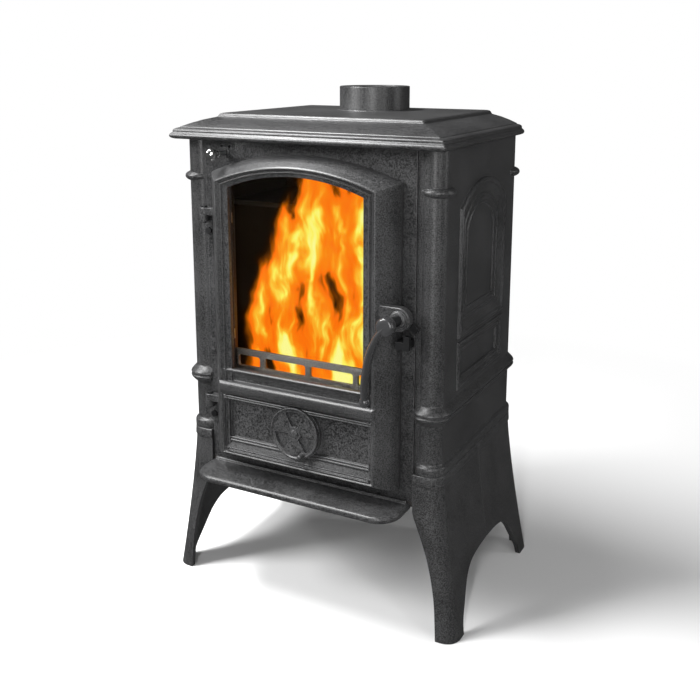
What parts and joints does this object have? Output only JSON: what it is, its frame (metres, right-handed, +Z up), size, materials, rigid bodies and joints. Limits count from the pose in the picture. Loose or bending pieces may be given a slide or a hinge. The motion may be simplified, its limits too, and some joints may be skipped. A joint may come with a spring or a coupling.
{
  "type": "potbelly stove",
  "caption": "Black cast-iron freestanding wood stove with an arched glass door, a moulded top plate with a flue collar, and splayed legs.",
  "frame": {"origin": "centre of the bounding box on the floor", "axes": "+Z up through the flue collar, -Y out of the door, +X to the stove's side with the door handle"},
  "size_m": [0.534, 0.438, 0.84],
  "materials": {
    "stove_black": "satin",
    "inner_iron": "matte",
    "zinc_steel": "satin",
    "polished_knob": "gloss",
    "glass": "gloss",
    "rope": "matte",
    "firebrick": "matte",
    "pan_steel": "satin"
  },
  "bodies": {
    "stove": {"right_side_panel": "stove_black", "left_side_panel": "stove_black", "front_plate": "stove_black", "back_panel": "stove_black", "leg_front_right": "stove_black", "leg_front_left": "stove_black", "leg_rear_right": "stove_black", "leg_rear_left": "stove_black", "ash_lip": "stove_black", "top_plate": "stove_black", "flue_collar": "stove_black", "upper_hinge_bracket": "stove_black", "lower_hinge_bracket": "stove_black", "latch_keeper": "stove_black", "base_plate": "inner_iron", "fire_grate": "inner_iron", "log_guard": "inner_iron", "baffle_plate": "inner_iron", "right_pan_runner": "inner_iron", "left_pan_runner": "inner_iron", "leg_bolt_1": "zinc_steel", "leg_bolt_2": "zinc_steel", "leg_bolt_3": "zinc_steel", "leg_bolt_4": "zinc_steel", "ash_lip_bolt_1": "zinc_steel", "ash_lip_bolt_2": "zinc_steel", "collar_bolt_1": "zinc_steel", "collar_bolt_2": "zinc_steel", "collar_bolt_3": "zinc_steel", "tie_rod_1": "zinc_steel", "tie_rod_2": "zinc_steel", "tie_rod_3": "zinc_steel", "tie_rod_4": "zinc_steel", "upper_hinge_pin": "zinc_steel", "lower_hinge_pin": "zinc_steel", "upper_hinge_bolt": "zinc_steel", "lower_hinge_bolt": "zinc_steel", "rear_liner": "firebrick", "left_liner": "firebrick", "right_liner": "firebrick"},
    "door": {"door_frame": "stove_black", "door_glass": "glass", "glass_gasket": "rope", "glass_clip_1": "zinc_steel", "glass_clip_2": "zinc_steel", "glass_clip_3": "zinc_steel", "glass_clip_4": "zinc_steel", "door_rope_seal": "rope", "spinner_stud": "stove_black"},
    "spinner": {"air_spinner": "stove_black"},
    "handle": {"door_handle": "stove_black", "handle_spindle": "zinc_steel", "latch_cam": "stove_black", "cam_nut": "zinc_steel"},
    "air_wash": {"air_wash_knob": "polished_knob", "air_wash_rod": "zinc_steel", "air_wash_shutter": "zinc_steel"},
    "ash_drawer": {"ash_pan": "pan_steel", "ash_pan_handle": "pan_steel"}
  },
  "joints": [
    {"name": "door_swing", "type": "hinge", "parent": "stove", "child": "door", "pos_m": [-0.179, -0.149, 0.5], "axis": [0, 0, -1], "range_deg": [0, 115]},
    {"name": "handle_turn", "type": "hinge", "parent": "door", "child": "handle", "pos_m": [0.176, -0.171, 0.516], "axis": [0, -1, 0], "range_deg": [-20, 70]},
    {"name": "spinner_turn", "type": "hinge", "parent": "door", "child": "spinner", "pos_m": [0, -0.171, 0.308], "axis": [0, -1, 0], "range_deg": [0, 60]},
    {"name": "air_wash_slide", "type": "slide", "parent": "stove", "child": "air_wash", "axis": [0, 1, 0], "range_m": [0, 0.012]},
    {"name": "ash_pan_slide", "type": "slide", "parent": "stove", "child": "ash_drawer", "axis": [0, -1, 0], "range_m": [0, 0.065]}
  ]
}
